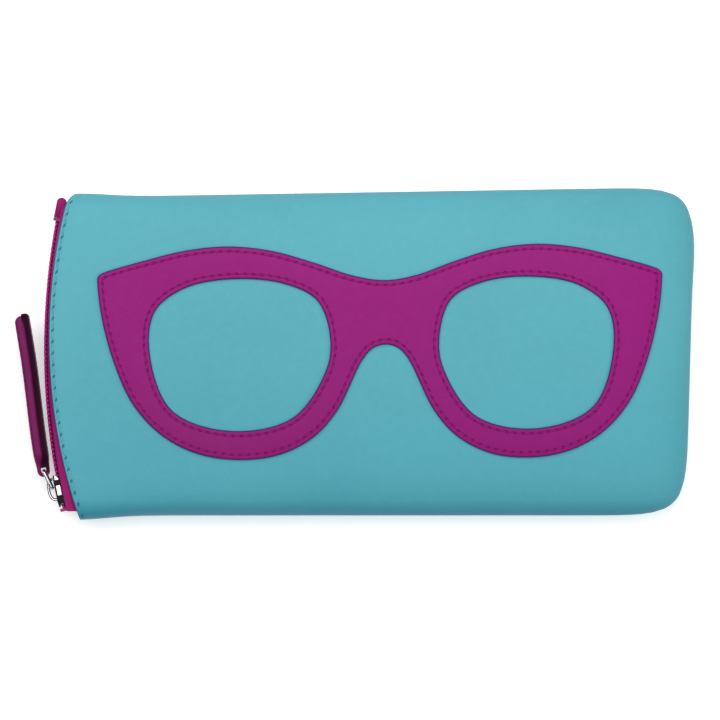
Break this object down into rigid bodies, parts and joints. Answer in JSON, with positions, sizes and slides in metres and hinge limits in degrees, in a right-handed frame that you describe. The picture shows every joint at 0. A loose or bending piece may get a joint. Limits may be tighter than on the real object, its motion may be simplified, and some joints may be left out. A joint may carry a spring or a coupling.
{
  "type": "glasses case",
  "caption": "Soft padded leather glasses case with a curved zip at one end, a long leather zip pull and a stitched glasses-shaped applique.",
  "frame": {"origin": "middle of the flat resting area of the back panel", "axes": "+X along the case from the zipped mouth to the closed end, +Y across it towards the end of the zip where the slider stops when open, +Z out of the front panel"},
  "size_m": [0.1951, 0.095, 0.0241],
  "materials": {
    "turquoise_leather": "fine pebbled grain, slight sheen",
    "fuchsia_leather": "fine grain, satin",
    "plum_leather": "smooth, satin",
    "padding_foam": "matt foam",
    "lining_cloth": "short nap",
    "zip_tape": "woven",
    "zip_coil": "nylon",
    "turquoise_thread": "twisted thread",
    "fuchsia_thread": "twisted thread",
    "chrome": "polished"
  },
  "bodies": {
    "case": {"front_panel": "turquoise_leather", "back_panel": "turquoise_leather", "front_padding": "padding_foam", "back_padding": "padding_foam", "front_lining": "lining_cloth", "back_lining": "lining_cloth", "glasses_applique": "fuchsia_leather", "applique_outline_stitching": "fuchsia_thread", "left_lens_stitching": "fuchsia_thread", "right_lens_stitching": "fuchsia_thread", "front_mouth_stitching": "turquoise_thread", "back_mouth_stitching": "turquoise_thread", "side_seam_thread": "turquoise_thread", "front_zip_tape": "zip_tape", "back_zip_tape": "zip_tape", "front_zip_coil": "zip_coil", "back_zip_coil": "zip_coil", "zip_end_tab": "zip_tape", "zip_bottom_stop": "zip_coil", "front_zip_top_stop": "zip_coil", "back_zip_top_stop": "zip_coil"},
    "slider": {"slider_body": "chrome"},
    "ring": {"pull_ring": "chrome"},
    "pull": {"leather_pull": "plum_leather", "outer_pull_stitching": "fuchsia_thread", "inner_pull_stitching": "fuchsia_thread"}
  },
  "joints": [
    {"name": "zip_slide", "type": "hinge", "parent": "case", "child": "slider", "pos_m": [0.1074, 0.0015, 0.011], "axis": [0, 0, -1], "range_deg": [0, 20.5]},
    {"name": "ring_swing", "type": "hinge", "parent": "slider", "child": "ring", "pos_m": [-0.09119, -0.03855, 0.011], "axis": [0, 0, 1], "range_deg": [0, 100]},
    {"name": "pull_swing", "type": "hinge", "parent": "ring", "child": "pull", "pos_m": [-0.09361, -0.03361, 0.011], "axis": [0, 0, 1], "range_deg": [0, 50]}
  ]
}
